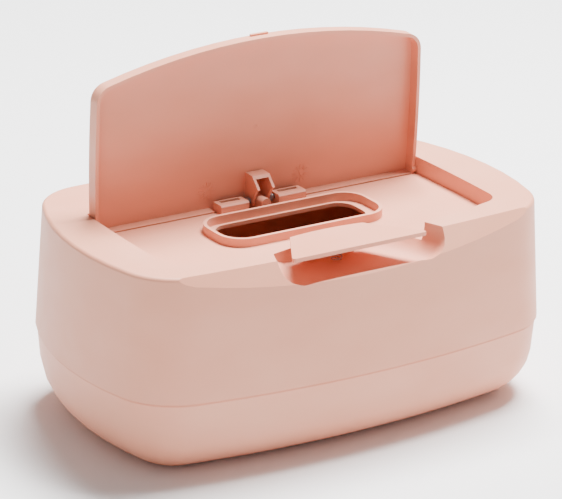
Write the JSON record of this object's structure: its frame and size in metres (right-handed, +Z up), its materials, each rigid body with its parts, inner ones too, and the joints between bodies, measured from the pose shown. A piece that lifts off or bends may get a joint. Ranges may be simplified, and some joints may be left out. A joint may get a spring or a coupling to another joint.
{
  "type": "baby wipes box",
  "caption": "Rounded plastic wipes box with a flip-up lid on a pin hinge, an oval opening with a raised collar and a finger-pocket button plate at the front.",
  "frame": {"origin": "centre of the underside, on the surface the feet stand on", "axes": "+X along the long side (to the viewer's right from the front), -Y to the front, +Z up"},
  "size_m": [0.2498, 0.158, 0.1849],
  "materials": {
    "blush_plastic": "fine matte",
    "blush_lid_plastic": "fine matte",
    "spring_steel": "drawn wire",
    "foot_rubber": "matte"
  },
  "bodies": {
    "tub": {"lower_tub": "blush_plastic", "foot_front_left": "foot_rubber", "foot_front_right": "foot_rubber", "foot_back_left": "foot_rubber", "foot_back_right": "foot_rubber"},
    "housing": {"upper_housing": "blush_plastic", "hinge_pin": "spring_steel", "lid_spring_left": "spring_steel", "lid_spring_right": "spring_steel", "button_pin": "spring_steel", "button_spring": "spring_steel"},
    "lid": {"lid": "blush_lid_plastic"},
    "button": {"button_plate": "blush_lid_plastic"}
  },
  "joints": [
    {"name": "housing_lift", "type": "slide", "parent": "tub", "child": "housing", "axis": [0, 0, 1], "range_m": [0, 0.08]},
    {"name": "lid_hinge", "type": "hinge", "parent": "housing", "child": "lid", "pos_m": [0, 0.0266, 0.0982], "axis": [1, 0, 0], "range_deg": [0, 88.5], "stiffness_Nm_per_rad": 0.02},
    {"name": "button_press", "type": "hinge", "parent": "housing", "child": "button", "pos_m": [0, -0.0368, 0.0955], "axis": [1, 0, 0], "range_deg": [0, 23], "deforming": ["button_spring"]}
  ],
  "couplings": [
    {"joint": "button_press", "follows": "lid_hinge", "ratio": 0.2514}
  ]
}
